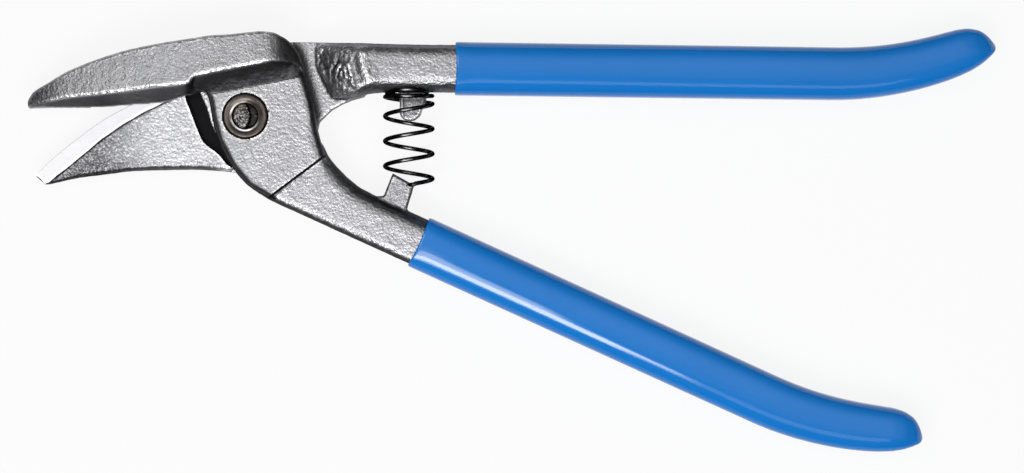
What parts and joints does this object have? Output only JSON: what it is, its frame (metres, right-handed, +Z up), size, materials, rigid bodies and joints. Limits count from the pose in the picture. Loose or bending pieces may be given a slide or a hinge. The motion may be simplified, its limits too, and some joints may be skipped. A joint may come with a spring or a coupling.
{
  "type": "tin snips",
  "caption": "Pelican-pattern hand snips for sheet metal: forged jaws and handles that turn on a pivot bolt, with a return spring and dipped plastic grips.",
  "frame": {"origin": "on the pivot's axis, at the underside of the bolt's head, where the tool lies on a bench", "axes": "+X towards the end of the upper handle, +Y towards the upper handle's side of the pivot, +Z up out of the face with the nut"},
  "size_m": [0.251, 0.1099, 0.0173],
  "materials": {
    "forged_steel": "pebbled forged steel under clear lacquer",
    "ground_steel": "finely ground cutting strip",
    "browned_steel": "browned, bright on its edges",
    "blacked_wire": "blacked spring wire, oiled",
    "blue_dip": "glossy dipped plastic"
  },
  "bodies": {
    "front_half": {"front_forging": "forged_steel", "pivot_bolt": "browned_steel", "pivot_nut": "browned_steel", "lower_grip": "blue_dip", "return_spring": "blacked_wire"},
    "rear_half": {"rear_forging": "forged_steel", "upper_grip": "blue_dip"}
  },
  "joints": [
    {"name": "pivot_turn", "type": "hinge", "parent": "front_half", "child": "rear_half", "pos_m": [0, 0, 0.0068], "axis": [0, 0, -1], "range_deg": [0, 19], "stiffness_Nm_per_rad": 2.5, "springref_deg": -4.58, "deforming": ["return_spring"]}
  ]
}
